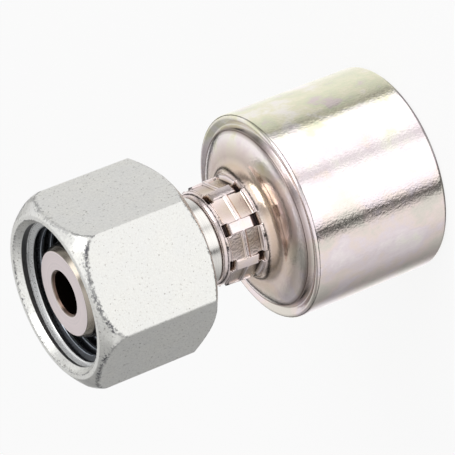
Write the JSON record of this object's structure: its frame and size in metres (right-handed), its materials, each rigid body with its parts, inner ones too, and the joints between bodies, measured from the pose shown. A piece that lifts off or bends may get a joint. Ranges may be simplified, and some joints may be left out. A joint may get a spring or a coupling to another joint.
{
  "type": "swivel nut hose fitting",
  "caption": "Crimp-on hose end: a plated ferrule gripped on a barbed through-bored stem, whose cone nose seals inside a free-turning hexagon nut.",
  "frame": {"origin": "centre of the ferrule's open hose end, where the part stands", "axes": "+Z along the fitting's axis from the hose end to the nut, +X through a corner of the nut's hexagon"},
  "size_m": [0.0294, 0.0294, 0.0534],
  "materials": {
    "ferrule_plating": "steel with a glossy iridescent chromate over bright zinc",
    "stem_steel": "turned steel, bright zinc plated",
    "seal_rubber": "black nitrile",
    "nut_plating": "steel, satin zinc plated, with fine pits"
  },
  "bodies": {
    "fitting": {"ferrule": "ferrule_plating", "stem": "stem_steel", "seal_ring": "seal_rubber"},
    "nut": {"swivel_nut": "nut_plating"}
  },
  "joints": [
    {"name": "nut_spin", "type": "hinge", "parent": "fitting", "child": "nut", "pos_m": [0, 0, 0.0378], "axis": [0, 0, 1], "continuous": true}
  ]
}
